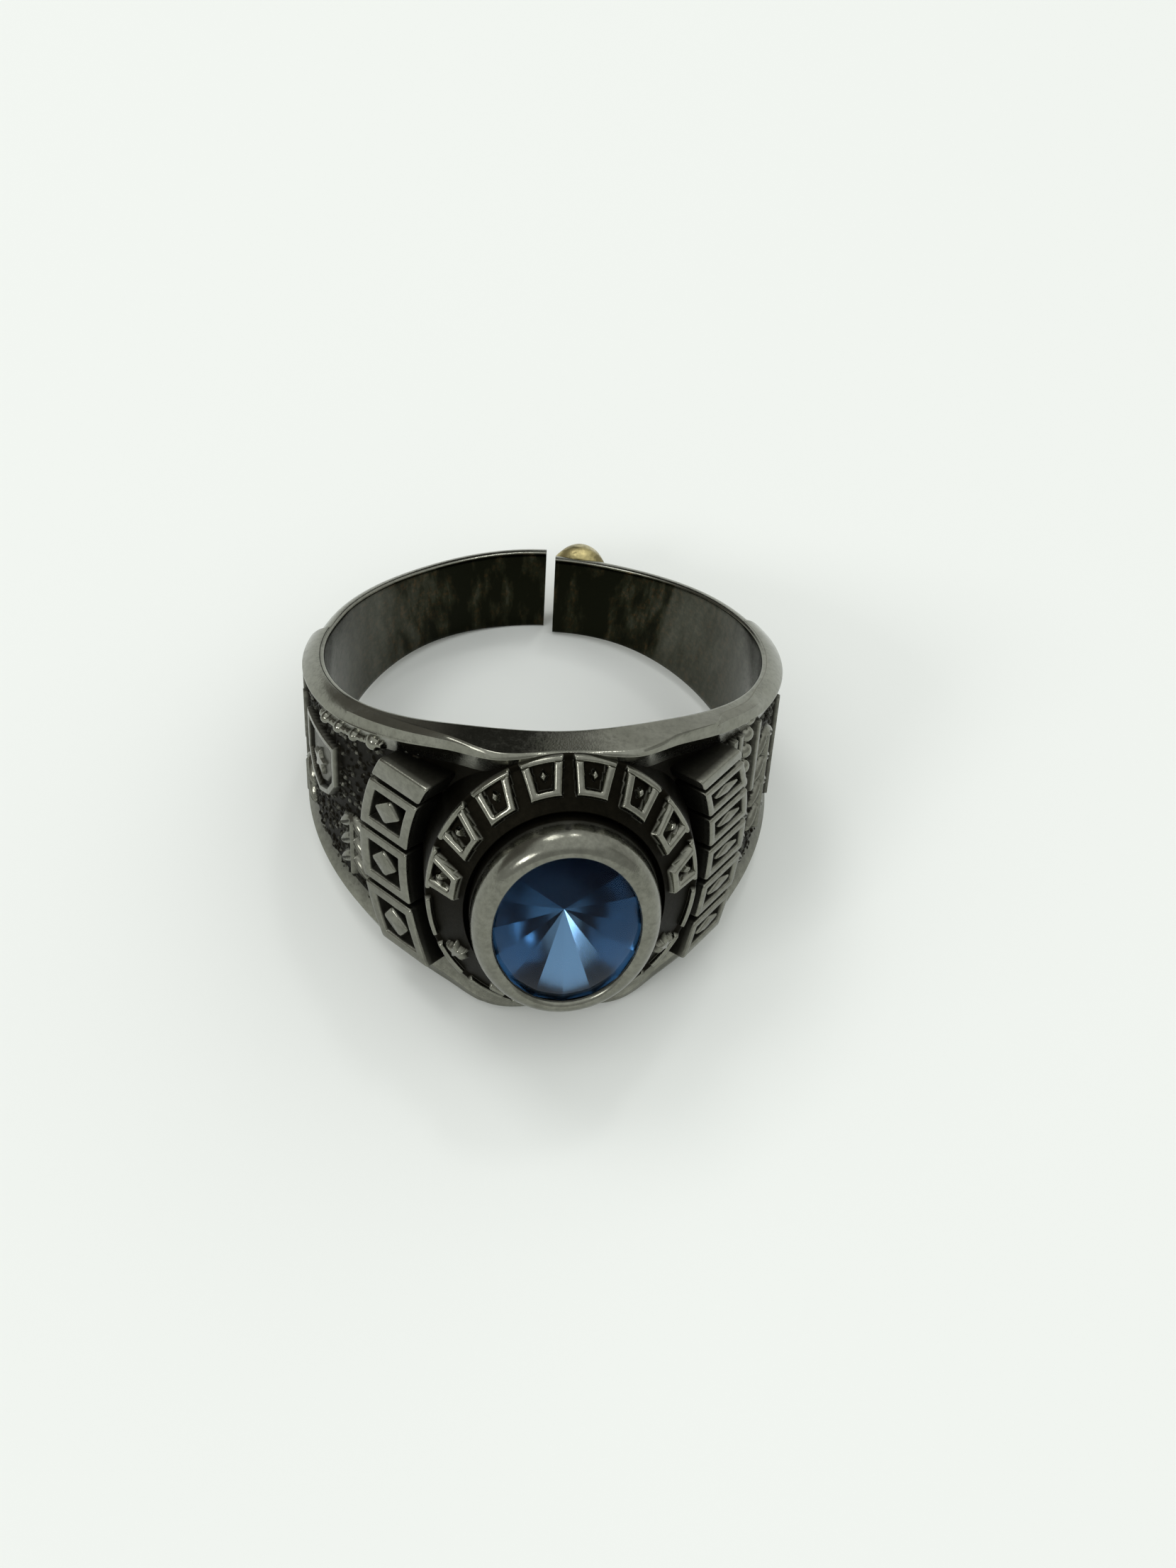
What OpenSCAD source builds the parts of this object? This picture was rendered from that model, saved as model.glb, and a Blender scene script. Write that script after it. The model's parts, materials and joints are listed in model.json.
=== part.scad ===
// Class ring of cast white metal with an oval blue stone, sawn through behind the finger.
// It lies on its side as it does on a table, with the head towards -Y.
// The origin is on the table, under the middle of the ring.

/* [Finger hole] */
// Diameter of the finger hole
finger_d = 18; // [16:0.25:21]

/* [Band] */
// Width of the plain band behind the finger
band_w = 4.1; // [3.5:0.1:5.5]
// Thickness of the plain band behind the finger
band_t = 1.1; // [1:0.05:1.4]
// Thickness of the wall at the outer edge of the rims beside the finger
rim_t = 0.9; // [0.85:0.05:1.1]
// Fall of each bevelled rim from the finger hole to its outer edge
rim_fall = 0.5; // [0.3:0.05:0.6]
// Depth of the relief panels below the outer edge of the rims
panel_depth = 0.3; // [0.2:0.05:0.4]
// Angle from the head at which the relief panels end
panel_end = 106; // [100:1:112]

/* [Saw cut] */
// Width of the saw cut
cut_w = 0.42; // [0.2:0.02:0.8]
// Angle of the saw cut from the middle of the back
cut_angle = 7; // [4:0.5:8]
// Angle through which the left arm is bent open
spring_angle = 3.2; // [0:0.2:4]
// Width of the solder bead beside the cut
bead_w = 2.7; // [2:0.1:3]
// Length of the solder bead along the finger
bead_l = 3.6; // [2.8:0.1:3.8]
// Rise of the solder bead above the band
bead_rise = 1.2; // [0.5:0.05:1.3]
// Height of the solder bead's middle above the band's middle
bead_up = 0.4; // [0:0.05:0.6]

/* [Head] */
// Width of the ring along the finger at its head
head_w = 13.5; // [13:0.25:15]
// Width of the bezel across the finger
bezel_w = 10.6; // [10.2:0.1:11.6]
// Height of the bezel's outer edge above the finger hole
bezel_rise = 1.35; // [1.2:0.05:1.6]
// Height of the bezel's slope from its outer edge to the foot of the collar
slope_rise = 1.15; // [0.9:0.05:1.3]
// Height of the collar above its foot
collar_rise = 1.5; // [1.4:0.05:1.8]
// Thickness of the collar's rounded wall at the stone
collar_t = 0.84; // [0.7:0.02:0.95]
// Width of the groove round the foot of the collar
groove_w = 0.22; // [0.15:0.01:0.3]
// Depth of the groove round the foot of the collar
groove_depth = 0.3; // [0.2:0.05:0.4]

/* [Stone] */
// Width of the stone
stone_w = 6; // [5.6:0.1:6.4]
// Length of the stone
stone_l = 8; // [7.6:0.1:8.4]
// Height of the stone's crown above its girdle
crown_h = 0.45; // [0.3:0.05:0.5]
// Thickness of the stone's girdle
girdle_h = 0.12; // [0.08:0.02:0.2]
// Depth of the stone's pavilion below its girdle
pavilion_h = 2.0; // [1.8:0.1:2.5]
// Width of the crown's facets
crown_w = 0.62; // [0.5:0.02:0.8]
// Facets round the stone, on its crown and on its pavilion alike
stone_facets = 16; // [12:4:24]
// How far the collar's lip laps over the stone
lip_cover = 0.18; // [0.12:0.02:0.24]
// Gap between the stone and its seat
seat_gap = 0.05; // [0.03:0.01:0.08]

/* [Relief] */
// Height of the cast ornament above the floor it stands on
relief_h = 0.32; // [0.2:0.02:0.4]
// Width of the ornament's narrow strokes
stroke = 0.26; // [0.2:0.02:0.32]
// Height of the flat tablets' faces above the finger hole
tablet_rise = 1.5; // [1.4:0.05:1.6]
// Width of the column of tablets on each shoulder
tablet_w = 2.65; // [2.4:0.05:2.8]
// Gap between tablets in a column
tablet_gap = 0.24; // [0.15:0.01:0.3]
// Tablets in the column on the left shoulder
left_tablets = 3; // [2:1:4]
// Tablets in the column on the right shoulder
right_tablets = 5; // [3:1:5]
// Arches over the upper half of the bezel
arch_count = 8; // [6:1:8]
// Arcs in the raised edge of the bezel
edge_count = 16; // [12:1:20]
// Diameter of the beads on the right shoulder
pearl_d = 0.74; // [0.6:0.02:0.8]
// Beads in the row on the right shoulder
pearl_count = 6; // [4:1:6]

/* [Hidden] */

finger_r = finger_d / 2;
half_band = band_w / 2;
half_head = head_w / 2;

// Metal that stays below a relief's floor, so that it joins the wall
sink = 0.25;
// How far cutters run past what they cut
over = 1;

// Stations along half of the ring, from the head to the back of the finger.
// Columns: angle from the head, growth of the width from band to head, rim fall and rim thickness as shares.
ANGLE = 0;
GROWTH = 1;
FALL = 2;
RIM = 3;
STATIONS = [
    [0, 1.00, 0.10, 1.40],
    [14, 0.99, 0.50, 1.78],
    [26, 0.94, 0.95, 1.19],
    [40, 0.82, 1.15, 1.03],
    [60, 0.62, 1.10, 1.00],
    [90, 0.36, 0.90, 1.03],
    [120, 0.15, 0.90, 1.00],
    [150, 0.01, 0.90, 1.00],
    [180, 0.00, 0.90, 1.00]
];

// Smooth curve through one column of the stations, flat at both ends
function station_slope(i, column) =
    i == 0 || i == len(STATIONS) - 1 ? 0
    : (STATIONS[i + 1][column] - STATIONS[i - 1][column])
        / (STATIONS[i + 1][ANGLE] - STATIONS[i - 1][ANGLE]);
function station_before(angle, i = 0) =
    i == len(STATIONS) - 2 || angle < STATIONS[i + 1][ANGLE] ? i : station_before(angle, i + 1);
function hermite(share, y0, y1, slope0, slope1) =
    y0 * (1 - share) ^ 2 * (1 + 2 * share) + y1 * share ^ 2 * (3 - 2 * share)
    + slope0 * share * (1 - share) ^ 2 - slope1 * share ^ 2 * (1 - share);
function from_head(angle) = abs(angle) > 180 ? 360 - abs(angle) : abs(angle);
function at_angle(angle, column) =
    let (i = station_before(from_head(angle)))
    let (span = STATIONS[i + 1][ANGLE] - STATIONS[i][ANGLE])
    hermite((from_head(angle) - STATIONS[i][ANGLE]) / span, STATIONS[i][column], STATIONS[i + 1][column],
        station_slope(i, column) * span, station_slope(i + 1, column) * span);

function half_width(angle) = half_band + (half_head - half_band) * at_angle(angle, GROWTH);
function rim_drop(angle) = rim_fall * at_angle(angle, FALL);
function rim_r(angle) = finger_r + rim_t * at_angle(angle, RIM);
function floor_r(angle) = rim_r(angle) - panel_depth;

// Outline of the wall above its middle, from the finger hole outwards.
// In the panels it falls over the rim to a sunk floor, behind the finger it is domed.
rim_flat = 0.12;
rim_swell = 0.14;
rim_face = 0.12;
panel_wall = 0.3;
DOME_REACH = [0.50, 0.80, 0.93, 1.00];
DOME_HEIGHT = [0.90, 0.68, 0.40, 0.15];
function panel_half(angle, h, drop) = [
    [(finger_r + rim_r(angle)) / 2, h - drop / 2 + rim_swell * min(1, drop / rim_fall)],
    [rim_r(angle), h - drop],
    [rim_r(angle), h - drop - rim_face],
    [floor_r(angle), h - drop - rim_face - panel_wall]
];
function dome_half(h) = [for (i = [0:3]) [finger_r + band_t * DOME_REACH[i], h * DOME_HEIGHT[i]]];
function wall_half(angle) =
    let (h = half_width(angle))
    concat(
        [[finger_r - over, h], [finger_r + rim_flat, h]],
        abs(angle) <= panel_end ? panel_half(angle, h, rim_drop(angle)) : dome_half(h)
    );
function wall_outline(angle) =
    let (upper = wall_half(angle))
    concat(upper, [for (i = [len(upper) - 1:-1:0]) [upper[i].x, -upper[i].y]]);

// Angles of the cross-sections, with a close pair at each end of the panels
section_step = 6;
end_step = 1.5;
panel_steps = ceil(panel_end / section_step);
back_steps = ceil((180 - panel_end - end_step) / section_step);
function arm_angles(last) = concat(
    [for (i = [0:panel_steps]) panel_end * i / panel_steps],
    [for (i = [0:back_steps]) panel_end + end_step + (last - panel_end - end_step) * i / back_steps]
);

// Both arms end inside the saw cut, and the left one swings out about a line on the finger hole.
hinge_behind = 4;
hinge_angle = 360 - panel_end - hinge_behind;
hinge = [finger_r * sin(hinge_angle), -finger_r * cos(hinge_angle)];
spring_shift = spring_angle * cos((hinge_angle - 180 + cut_angle) / 2);
half_cut_angle = asin(cut_w / 2 / finger_r);
cut_margin = 0.2;
right_angles = arm_angles(180 - cut_angle - half_cut_angle + cut_margin);
left_angles = arm_angles(180 + cut_angle - half_cut_angle + cut_margin + spring_shift);
function turned(p, angle) =
    [p.x * cos(angle) - p.y * sin(angle), p.x * sin(angle) + p.y * cos(angle)];
function sprung(p) =
    let (q = hinge + turned([p.x, p.y] - hinge, spring_angle)) [q.x, q.y, p.z];

// A closed ring of equal outlines, joined one to the next
module loop_of_outlines(outlines) {
    rows = len(outlines);
    size = len(outlines[0]);
    function at(i, j) = (i % rows) * size + j % size;
    polyhedron(
        points = [for (outline = outlines) each outline],
        faces = [
            for (i = [0:rows - 1], j = [0:size - 1])
            each [
                [at(i, j), at(i + 1, j), at(i + 1, j + 1)],
                [at(i, j), at(i + 1, j + 1), at(i, j + 1)]
            ]
        ]
    );
}

// A stack of level outlines of equal size, closed at both ends
module stack_of_outlines(outlines) {
    rows = len(outlines);
    size = len(outlines[0]);
    function at(i, j) = i * size + j % size;
    polyhedron(
        points = [for (outline = outlines) each outline],
        faces = concat(
            [
                for (i = [0:rows - 2], j = [0:size - 1])
                each [
                    [at(i, j), at(i + 1, j), at(i + 1, j + 1)],
                    [at(i, j), at(i + 1, j + 1), at(i, j + 1)]
                ]
            ],
            [for (j = [1:size - 2]) [0, j, j + 1]],
            [for (j = [1:size - 2]) [at(rows - 1, 0), at(rows - 1, j + 1), at(rows - 1, j)]]
        )
    );
}

function round_finger(angle, point) =
    [point.x * sin(angle), -point.x * cos(angle), point.y];

wall_outlines = concat(
    [for (angle = right_angles) [for (point = wall_outline(angle)) round_finger(angle, point)]],
    [
        for (i = [len(left_angles) - 1:-1:1])
        let (angle = 360 - left_angles[i])
        [
            for (point = wall_outline(left_angles[i]))
            angle < hinge_angle ? sprung(round_finger(angle, point)) : round_finger(angle, point)
        ]
    ]
);
module wall() {
    loop_of_outlines(wall_outlines);
}

// The finger hole is round, and the bent arm carries its own share of it outwards.
module round_hole() {
    cylinder(r = finger_r, h = head_w + 2 * over, center = true, $fn = 128);
}

module bent_arm_wedge() {
    far = 3 * finger_r;
    linear_extrude(head_w + 3 * over, center = true)
        polygon([[0, 0], 2 * hinge, [-far, far], far * [sin(cut_angle), cos(cut_angle)]]);
}

module finger_hole() {
    round_hole();
    intersection() {
        translate([hinge.x, hinge.y, 0])
            rotate([0, 0, spring_angle])
                translate([-hinge.x, -hinge.y, 0])
                    round_hole();
        bent_arm_wedge();
    }
}

// The head is a stack of ovals, from inside the wall up over the collar and down into the seat.
oval_sides = 48;
function oval(half_w, half_l, height, sides = oval_sides) = [
    for (i = [0:sides - 1])
    [half_w * cos(360 * i / sides), half_l * sin(360 * i / sides), height]
];

edge_inset = 0.06;
half_bezel_w = bezel_w / 2;
half_bezel_l = half_head - edge_inset;
edge_z = finger_r + bezel_rise;
foot_z = edge_z + slope_rise;
collar_z = foot_z + collar_rise;
opening_w = stone_w / 2 - lip_cover;
opening_l = stone_l / 2 - lip_cover;
collar_w = opening_w + collar_t;
collar_l = opening_l + collar_t;
foot_w = collar_w + groove_w;
foot_l = collar_l + groove_w;
table_over = 0.08;
culet_r = 0.03;
table_z = collar_z + table_over;
girdle_top = table_z - crown_h;
girdle_bottom = girdle_top - girdle_h;
culet_z = girdle_bottom - pavilion_h;
seat_w = stone_w / 2 + seat_gap;
seat_l = stone_l / 2 + seat_gap;
// The lip's underside rises inwards along the stone's crown
lip_under = girdle_top + seat_gap + crown_h * lip_cover / crown_w;
culet_room = 0.15;
seat_floor = culet_z - culet_room;
seat_floor_share = 0.3;

// The collar's rounded wall, as shares of its thickness and of its height above the roll
ROLL = [[0.00, 0.00], [0.06, 0.38], [0.22, 0.70], [0.45, 0.92], [0.72, 1.00]];
roll_h = 0.8;
lip_face = 0.1;
head_ovals = concat(
    [
        oval(half_bezel_w, half_bezel_l, 0),
        oval(half_bezel_w, half_bezel_l, edge_z),
        oval(half_bezel_w - stroke, half_bezel_l - stroke, edge_z),
        oval(foot_w, foot_l, foot_z),
        oval(foot_w, foot_l, foot_z - groove_depth),
        oval(collar_w, collar_l, foot_z - groove_depth)
    ],
    [for (row = ROLL) oval(collar_w - collar_t * row.x, collar_l - collar_t * row.x,
        collar_z - roll_h * (1 - row.y))],
    [
        oval(opening_w, opening_l, collar_z - lip_face),
        oval(opening_w, opening_l, lip_under),
        oval(seat_w, seat_l, girdle_top + seat_gap),
        oval(seat_w, seat_l, girdle_bottom - seat_gap),
        oval(seat_w * seat_floor_share, seat_l * seat_floor_share, seat_floor)
    ]
);

// Stands the head's own upright axis outwards, towards -Y
module outwards() {
    rotate([90, 0, 0]) children();
}

module head() {
    outwards() stack_of_outlines(head_ovals);
}

// Places what stands on the bezel's slope: x along the edge, y up the slope, z out of it
function slope_point(turn, share) =
    let (w = half_bezel_w - stroke, l = half_bezel_l - stroke)
    [(w + (foot_w - w) * share) * cos(turn), (l + (foot_l - l) * share) * sin(turn),
        edge_z + slope_rise * share];
function unit(v) = v / norm(v);
module on_slope(turn, share) {
    along = unit(slope_point(turn - 1, 0) - slope_point(turn + 1, 0));
    out = unit(cross(along, slope_point(turn, 1) - slope_point(turn, 0)));
    up = cross(out, along);
    place = slope_point(turn, share);
    multmatrix([
        [along.x, up.x, out.x, place.x],
        [along.y, up.y, out.y, place.y],
        [along.z, up.z, out.z, place.z],
        [0, 0, 0, 1]
    ]) children();
}

// A raised piece of flat outline, sunk into what it stands on
module raised(height) {
    translate([0, 0, -sink]) linear_extrude(sink + height) children();
}

// Five-pointed star
module star(r) {
    waist = 0.45;
    polygon([
        for (i = [0:9])
        let (reach = i % 2 == 0 ? r : r * waist)
        [reach * sin(36 * i), reach * cos(36 * i)]
    ]);
}

// The ornament round the head is sized by the slope's length, from its edge to its foot.
slope_l = norm([half_bezel_w - stroke - foot_w, slope_rise]);
star_r = 0.37 * slope_l;
dot_w = 0.5 * slope_l;
star_turns = [-27, 207];
dot_turns = [238, 259, 281, 302];

// One arch, whose two uprights lean in from the bezel's edge to a bar, with a lozenge between them.
// Its feet reach a little under the raised edge.
arch_w = 0.9 * slope_l;
arch_foot = -0.03;
arch_top = 0.84 * slope_l;
arch_lean = 0.86;
module arch() {
    foot = arch_w / 2;
    top = foot * arch_lean;
    raised(relief_h) polygon([
        [-foot, arch_foot], [stroke - foot, arch_foot], [stroke - top, arch_top - stroke],
        [top - stroke, arch_top - stroke], [foot - stroke, arch_foot], [foot, arch_foot],
        [top, arch_top], [-top, arch_top]
    ]);
    half_w = (top - stroke) / 2;
    half_l = (arch_top - arch_foot - stroke) / 4;
    translate([0, (arch_foot + arch_top - stroke) / 2])
        raised(relief_h) polygon([[half_w, 0], [0, half_l], [-half_w, 0], [0, -half_l]]);
}

module slope_ornament() {
    for (i = [1:arch_count])
        on_slope(180 * (i - 0.5) / arch_count, 0) arch();
    for (turn = star_turns)
        on_slope(turn, 0.5) raised(relief_h) star(star_r);
    for (turn = dot_turns)
        on_slope(turn, 0.5) raised(relief_h) square([dot_w, stroke], center = true);
}

// Raised edge of the bezel, in arcs with a nick between them
edge_h = 0.14;
edge_in = 0.04;
arc_share = 0.8;
arc_parts = 4;
function arc_of_oval(half_w, half_l, from, to) = [
    for (i = [0:arc_parts])
    let (turn = from + (to - from) * i / arc_parts) [half_w * cos(turn), half_l * sin(turn)]
];
module bezel_edge() {
    pitch = 360 / edge_count;
    outer_w = half_bezel_w - edge_in;
    outer_l = half_bezel_l - edge_in;
    for (i = [0:edge_count - 1]) {
        from = pitch * (i + 0.5 - arc_share / 2);
        to = from + pitch * arc_share;
        translate([0, 0, edge_z]) raised(edge_h) polygon(concat(
            arc_of_oval(outer_w, outer_l, from, to),
            arc_of_oval(outer_w - stroke, outer_l - stroke, to, from)
        ));
    }
}

module bezel_ornament() {
    outwards() {
        slope_ornament();
        bezel_edge();
    }
}

// A shoulder's tablets have their faces in one flat plane, square to this angle from the head.
// Their column bends back towards both rims, as the bezel's edge does.
tablet_facing = 48;
tablet_out = finger_r + tablet_rise;
tablet_root = finger_r - over / 2;
column_at = 0.05;
column_bend = 2.5;
column_reach = 0.7 * half_head;
left_cap_l = 1.05;
right_cap_l = 0.6;
left_border = 1.8 * stroke;
right_border = 1.3 * stroke;
function column_x(z, share) = column_at + column_bend * (z / half_head) ^ 2 + tablet_w * share;
function tablet_outline(low, high, inset) = [
    [column_x(low, 0) + inset, low + inset],
    [column_x(low, 1) - inset, low + inset],
    [column_x(high, 1) - inset, high - inset],
    [column_x(high, 0) + inset, high - inset]
];

// Stands a flat outline up from inside the wall to the plane of the tablets' faces
module to_tablet_face() {
    translate([0, 0, tablet_root]) linear_extrude(tablet_out - tablet_root) children();
}

module tablet(low, high, border) {
    lozenge_w = tablet_w / 2 - border - stroke / 2;
    lozenge_l = (high - low) / 2 - border - stroke / 2;
    to_tablet_face() difference() {
        polygon(tablet_outline(low, high, 0));
        polygon(tablet_outline(low, high, border));
    }
    translate([column_x((low + high) / 2, 0.5), (low + high) / 2, 0])
        to_tablet_face() polygon([[-lozenge_w, 0], [0, -lozenge_l], [lozenge_w, 0], [0, lozenge_l]]);
}

// A solid cap closes each column below the upper rim.
module tablet_column(count, border, cap_l) {
    cap_from = column_reach - cap_l;
    pitch = (cap_from + column_reach) / count;
    for (i = [0:count - 1])
        tablet(pitch * i - column_reach, pitch * (i + 1) - column_reach - tablet_gap, border);
    to_tablet_face() polygon(tablet_outline(cap_from, column_reach, 0));
}

module on_shoulder(side) {
    rotate([0, 0, side * tablet_facing]) outwards() children();
}

// Places what stands on a relief panel: x round the finger, y along it, z out of the panel.
// Heights on a panel are shares of its half height there, above or below its middle.
function panel_reach(angle) = half_width(angle) - rim_drop(angle) - rim_face - panel_wall;
module on_panel(angle, share) {
    rotate([0, 0, angle])
        translate([0, -floor_r(angle), share * panel_reach(angle)])
            outwards() children();
}

// Pointed leaf that grows out of a stem's middle line
leaf_l = 1.45;
leaf_w = 0.55;
leaf_root = 0.15;
leaf_lean = 50;
module leaf() {
    steps = 5;
    translate([0, -leaf_root])
        polygon(concat(
            [for (i = [0:steps]) [-leaf_w / 2 * sin(180 * i / steps), leaf_l * i / steps]],
            [for (i = [1:steps - 1]) [leaf_w / 2 * sin(180 * i / steps), leaf_l * (1 - i / steps)]]
        ));
}

// Spray of leaves in pairs along an upright stem, which stands a little higher than they do
stem_h = 1.2 * relief_h;
module spray(angle, from, to, pairs) {
    stem_l = abs(to - from) * panel_reach(angle) + 2 * stroke;
    for (i = [0:pairs - 1], side = [-1, 1])
        on_panel(angle, from + (to - from) * i / pairs)
            rotate([0, 0, side * leaf_lean + (to < from ? 180 : 0)])
                raised(relief_h) leaf();
    on_panel(angle, (from + to) / 2)
        raised(stem_h) square([stroke, stem_l], center = true);
}

// Upright rib
module rib(angle, low, high) {
    on_panel(angle, (low + high) / 2)
        raised(relief_h) square([stroke, (high - low) * panel_reach(angle)], center = true);
}

// Torch that lies along the rim of the left shoulder, with a round flame at its head end
torch_from = -47;
torch_to = -66;
torch_parts = 3;
torch_below_rim = 1.15;
torch_piece_l = 1.15;
torch_h = 0.7 * relief_h;
torch_w = 1.3 * stroke;
knop_d = 2 * stroke;
flame_d = 2.6 * stroke;
function torch_lean(angle) =
    atan2(half_width(angle + 1) - half_width(angle - 1), 2 * floor_r(angle) * PI / 180);
module torch() {
    for (i = [0:torch_parts]) {
        angle = torch_from + (torch_to - torch_from) * i / torch_parts;
        on_panel(angle, (half_width(angle) - torch_below_rim) / panel_reach(angle)) {
            rotate([0, 0, torch_lean(angle)])
                raised(torch_h) square([torch_piece_l, torch_w], center = true);
            sphere(d = i == 0 ? flame_d : knop_d, $fn = 24);
        }
    }
}

// Shield with a raised border and a star, on the left panel
shield_angle = -70;
shield_at = 0.25;
shield_l = 0.9 * panel_reach(shield_angle);
shield_w = 0.9 * shield_l;
// Right half of the shield's outline below its top edge, as shares of its half width and half length
SHIELD = [[1, 1], [1, -0.2], [0.62, -0.72], [0, -1]];
module shield_outline(inset) {
    half_w = shield_w / 2 - inset;
    half_l = shield_l / 2 - inset;
    polygon(concat(
        [for (row = SHIELD) [half_w * row.x, half_l * row.y]],
        [for (i = [len(SHIELD) - 2:-1:0]) [-half_w * SHIELD[i].x, half_l * SHIELD[i].y]]
    ));
}
module shield() {
    on_panel(shield_angle, shield_at) {
        raised(relief_h) difference() {
            shield_outline(0);
            shield_outline(stroke);
        }
        raised(relief_h / 2) shield_outline(2 * stroke);
        raised(relief_h) star(star_r);
    }
}

// Row of beads on the right shoulder
pearl_angle = 51;
pearl_low = 0.14;
pearl_high = 1.09;
module pearls() {
    for (i = [0:pearl_count - 1])
        on_panel(pearl_angle, pearl_low + (pearl_high - pearl_low) * i / (pearl_count - 1))
            sphere(d = pearl_d, $fn = 24);
}

// Ribs on the panels. Columns: angle from the head, lower end, upper end.
LEFT_RIBS = [[-86, 0, 0.8], [-93, -0.8, 0.87]];
RIGHT_RIBS = [[44.5, 0.13, 0.93], [47, 0.13, 0.96], [55.5, 0.14, 1], [78, -0.79, 0.79]];
// Sprays on the panels. Columns: angle from the head, start, end, pairs of leaves.
LEFT_SPRAYS = [[-55, -0.1, -0.8, 3], [-86, -0.4, -1, 2]];
RIGHT_SPRAYS = [[51, -0.05, -0.86, 3], [64, 0.68, -0.68, 4], [90, 0.77, -0.77, 3]];
module panel_ornament(ribs, sprays) {
    for (row = ribs)
        rib(row[0], row[1], row[2]);
    for (row = sprays)
        spray(row[0], row[1], row[2], row[3]);
}

module left_shoulder() {
    on_shoulder(-1) tablet_column(left_tablets, left_border, left_cap_l);
    torch();
    shield();
    panel_ornament(LEFT_RIBS, LEFT_SPRAYS);
}

module right_shoulder() {
    on_shoulder(1) mirror([1, 0, 0]) tablet_column(right_tablets, right_border, right_cap_l);
    pearls();
    panel_ornament(RIGHT_RIBS, RIGHT_SPRAYS);
}

// Solder bead on the back of the band, whose edge the saw went through
bead_parts = 8;
bead_in_cut = 0.38;
bead_angle = 180 - cut_angle - asin((cut_w / 2 + bead_w / 2 - bead_in_cut) / finger_r);
bead_middle_r = finger_r + band_t + bead_rise - bead_w / 2;
module solder_bead() {
    rotate([0, 0, bead_angle])
        translate([0, -bead_middle_r, bead_up])
            rotate_extrude($fn = 32)
                polygon(concat(
                    [[0, -bead_l / 2]],
                    [
                        for (i = [1:bead_parts - 1])
                        let (turn = 180 * i / bead_parts - 90)
                        [bead_w / 2 * cos(turn), bead_l / 2 * sin(turn)]
                    ],
                    [[0, bead_l / 2]]
                ));
}

module saw_cut() {
    rotate([0, 0, -cut_angle])
        translate([-cut_w / 2, finger_r - over, -half_head])
            cube([cut_w, band_t + bead_rise + 2 * over, head_w]);
}

// Lies on its side: the ring tips until both the edge of the head and the back touch the table.
spring_rise = (hinge + turned(-hinge, spring_angle)).y;
back_foot = finger_r + spring_rise + rim_flat;
rest_tilt = max([for (angle = [0:1:30])
    atan((half_width(angle) - half_band) / (finger_r * cos(angle) + back_foot))]);
lift = back_foot * sin(rest_tilt) + half_band * cos(rest_tilt);
function tipped_y(point) = point.y * cos(rest_tilt) + point.z * sin(rest_tilt);
front_reach = max([for (row = head_ovals, point = row) tipped_y([0, point.z, point.y])]);
wall_reach = max([for (outline = wall_outlines, point = outline) tipped_y(point)]);
bead_reach = tipped_y([0, -cos(bead_angle) * bead_middle_r, bead_up])
    + norm([bead_w / 2 * cos(rest_tilt), bead_l / 2 * sin(rest_tilt)]);
back_reach = max(wall_reach, bead_reach);
module laid_down() {
    translate([0, (front_reach - back_reach) / 2, lift]) rotate([-rest_tilt, 0, 0]) children();
}

module casting() {
    color("dimgray") laid_down() difference() {
        union() {
            wall();
            head();
            bezel_ornament();
            left_shoulder();
            right_shoulder();
            solder_bead();
        }
        finger_hole();
        saw_cut();
    }
}

module stone() {
    color("royalblue") laid_down() outwards() stack_of_outlines([
        oval(culet_r, culet_r, culet_z, stone_facets),
        oval(stone_w / 2, stone_l / 2, girdle_bottom, stone_facets),
        oval(stone_w / 2, stone_l / 2, girdle_top, stone_facets),
        oval(stone_w / 2 - crown_w, stone_l / 2 - crown_w, table_z, stone_facets)
    ]);
}

casting();
stone();
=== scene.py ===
import json
import math

import bmesh
import bpy
import numpy as np
from mathutils import Matrix, Vector


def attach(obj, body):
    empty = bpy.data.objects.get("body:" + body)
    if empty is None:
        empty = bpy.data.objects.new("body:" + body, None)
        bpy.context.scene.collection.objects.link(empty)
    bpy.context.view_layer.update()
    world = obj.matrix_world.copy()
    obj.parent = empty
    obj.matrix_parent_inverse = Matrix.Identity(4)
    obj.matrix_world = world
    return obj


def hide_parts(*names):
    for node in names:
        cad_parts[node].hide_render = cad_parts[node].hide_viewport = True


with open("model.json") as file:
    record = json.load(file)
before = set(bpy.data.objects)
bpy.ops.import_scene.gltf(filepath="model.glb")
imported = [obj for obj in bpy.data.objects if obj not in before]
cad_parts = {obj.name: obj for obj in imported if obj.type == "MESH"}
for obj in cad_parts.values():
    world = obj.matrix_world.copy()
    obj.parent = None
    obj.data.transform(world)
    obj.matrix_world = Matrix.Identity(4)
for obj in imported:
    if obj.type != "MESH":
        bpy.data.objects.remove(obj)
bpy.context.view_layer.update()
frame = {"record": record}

# How the ring lies
# The ring is worked out in its own millimetres: X across the finger, -Y out through the stone, Z along the
# finger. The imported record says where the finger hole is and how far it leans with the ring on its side.
# Angles are in degrees from the head, positive over the right shoulder and negative over the left.
MM = 0.001
hole = frame["record"]["mounts"][0]
finger_r = hole["dims"]["r_mm"]
lean = math.atan2(hole["axis"][1], hole["axis"][2])
ring_to_row = Matrix.Translation(hole["pos_m"]) @ Matrix.Rotation(-lean, 4, "X") @ Matrix.Scale(MM, 4)

# Shank
# The hoop is one casting, turned true inside and polished on its bevelled rims. It was sawn through behind
# the finger with a fine blade, and its left arm has sprung open since.
band_w = 4.1
band_t = 1.1
head_w = 13.5
rim_t = 0.9
rim_fall = 0.5
panel_end = 106
panel_depth = 0.3
rim_face = 0.12
rim_flat = 0.12
rim_swell = 0.14
cut_w = 0.42
cut_angle = 7
spring_angle = 3.2
hinge_angle = -110
hinge_reach = 8

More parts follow.
